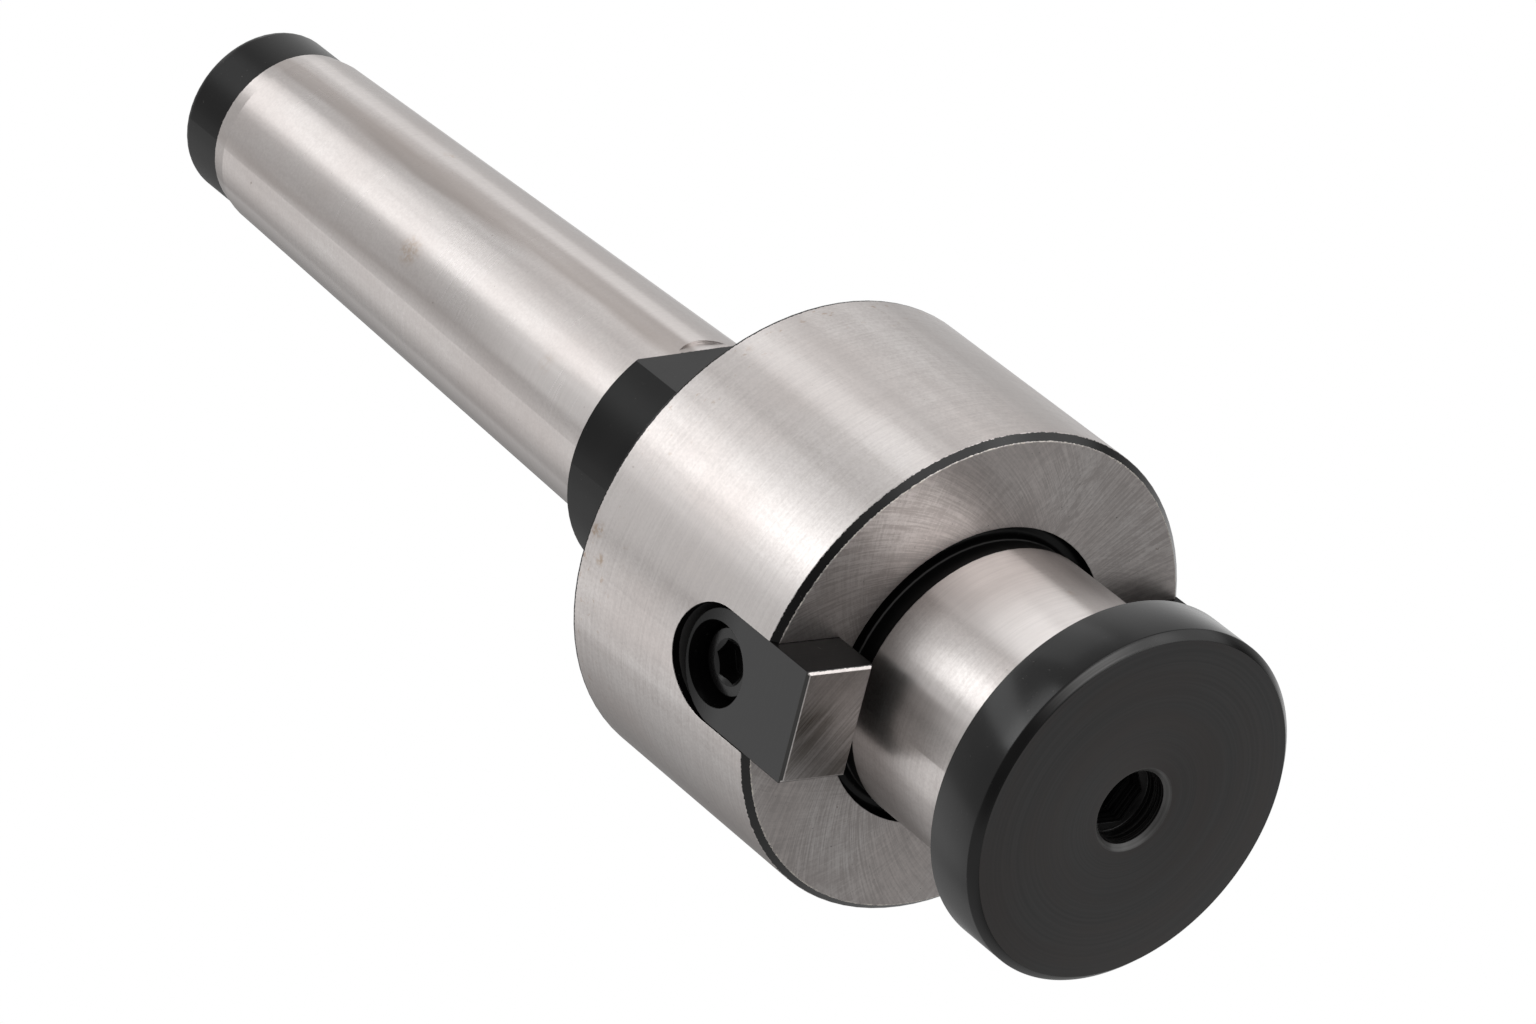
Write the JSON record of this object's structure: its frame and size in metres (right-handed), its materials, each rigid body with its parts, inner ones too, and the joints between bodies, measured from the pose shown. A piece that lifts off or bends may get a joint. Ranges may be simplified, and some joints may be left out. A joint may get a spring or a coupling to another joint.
{
  "type": "shell mill arbor",
  "caption": "Taper-shank arbor for a shell mill: round pilot, flange with bolted drive keys, wrench-flatted collar, tapped taper shank and a wide-headed retaining screw.",
  "frame": {"origin": "centre of the retaining screw head's flat outer face, on which the arbor stands", "axes": "+Z along the arbor's axis from the screw head towards the shank end, +X through the middle of the near drive key"},
  "size_m": [0.0696, 0.0696, 0.2089],
  "materials": {
    "ground_steel": "ground, with blackened chamfers, collar and end relief",
    "blackened_steel": "black oxide over turned steel",
    "screw_steel": "black oxide"
  },
  "bodies": {
    "arbor_body": {"arbor": "ground_steel", "drive_key_near": "blackened_steel", "drive_key_far": "blackened_steel", "key_screw_near": "screw_steel", "key_screw_far": "screw_steel"},
    "screw_body": {"retaining_screw": "blackened_steel"}
  },
  "joints": [
    {"name": "retaining_screw_slide", "type": "slide", "parent": "arbor_body", "child": "screw_body", "axis": [0, 0, -1], "range_m": [0, 0.0325]}
  ]
}
